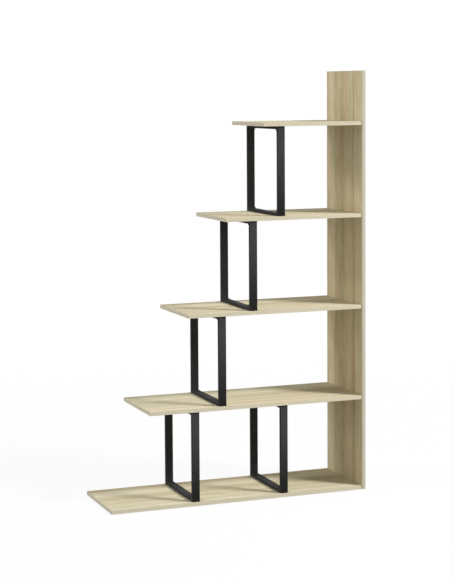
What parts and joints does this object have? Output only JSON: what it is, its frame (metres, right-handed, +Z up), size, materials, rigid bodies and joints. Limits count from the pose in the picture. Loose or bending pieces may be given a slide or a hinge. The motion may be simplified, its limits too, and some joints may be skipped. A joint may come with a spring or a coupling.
{
  "type": "ladder bookcase",
  "caption": "Open ladder bookcase: a tall side panel, a base board and shelves that shorten toward the top, standing on welded black steel tube frames.",
  "frame": {"origin": "on the floor, at the middle of the bookcase's outer width and depth", "axes": "+Z up, +X along the boards toward the side panel, -Y is the front; front and back are alike"},
  "size_m": [1.278, 0.4, 2.014],
  "materials": {
    "oak_board": "satin light oak melamine",
    "oak_banding": "satin light oak edge banding",
    "black_powder_coat": "fine matt black powder coat",
    "black_screw": "black zinc",
    "zinc_fitting": "satin zinc",
    "beech_dowel": "raw beech",
    "glide_plastic": "matt grey",
    "nail_steel": "bright steel"
  },
  "bodies": {
    "root": {"side_panel": "oak_board", "base_board": "oak_board", "shelf_1": "oak_board", "shelf_2": "oak_board", "shelf_3": "oak_board", "top_shelf": "oak_board", "panel_banding": "oak_banding", "base_banding": "oak_banding", "shelf_1_banding": "oak_banding", "shelf_2_banding": "oak_banding", "shelf_3_banding": "oak_banding", "top_banding": "oak_banding", "outer_base_posts": "black_powder_coat", "inner_base_posts": "black_powder_coat", "frame_1_posts": "black_powder_coat", "frame_2_posts": "black_powder_coat", "frame_3_posts": "black_powder_coat", "outer_base_rails": "black_powder_coat", "inner_base_rails": "black_powder_coat", "frame_1_rails": "black_powder_coat", "frame_2_rails": "black_powder_coat", "frame_3_rails": "black_powder_coat", "outer_base_screws": "black_screw", "inner_base_screws": "black_screw", "frame_1_screws": "black_screw", "frame_2_screws": "black_screw", "frame_3_screws": "black_screw", "base_cams": "zinc_fitting", "shelf_1_cams": "zinc_fitting", "shelf_2_cams": "zinc_fitting", "shelf_3_cams": "zinc_fitting", "top_cams": "zinc_fitting", "base_cam_bolts": "zinc_fitting", "shelf_1_cam_bolts": "zinc_fitting", "shelf_2_cam_bolts": "zinc_fitting", "shelf_3_cam_bolts": "zinc_fitting", "top_cam_bolts": "zinc_fitting", "base_dowels": "beech_dowel", "shelf_1_dowels": "beech_dowel", "shelf_2_dowels": "beech_dowel", "shelf_3_dowels": "beech_dowel", "top_dowels": "beech_dowel", "floor_glides": "glide_plastic", "glide_nails": "nail_steel"}
  },
  "joints": []
}
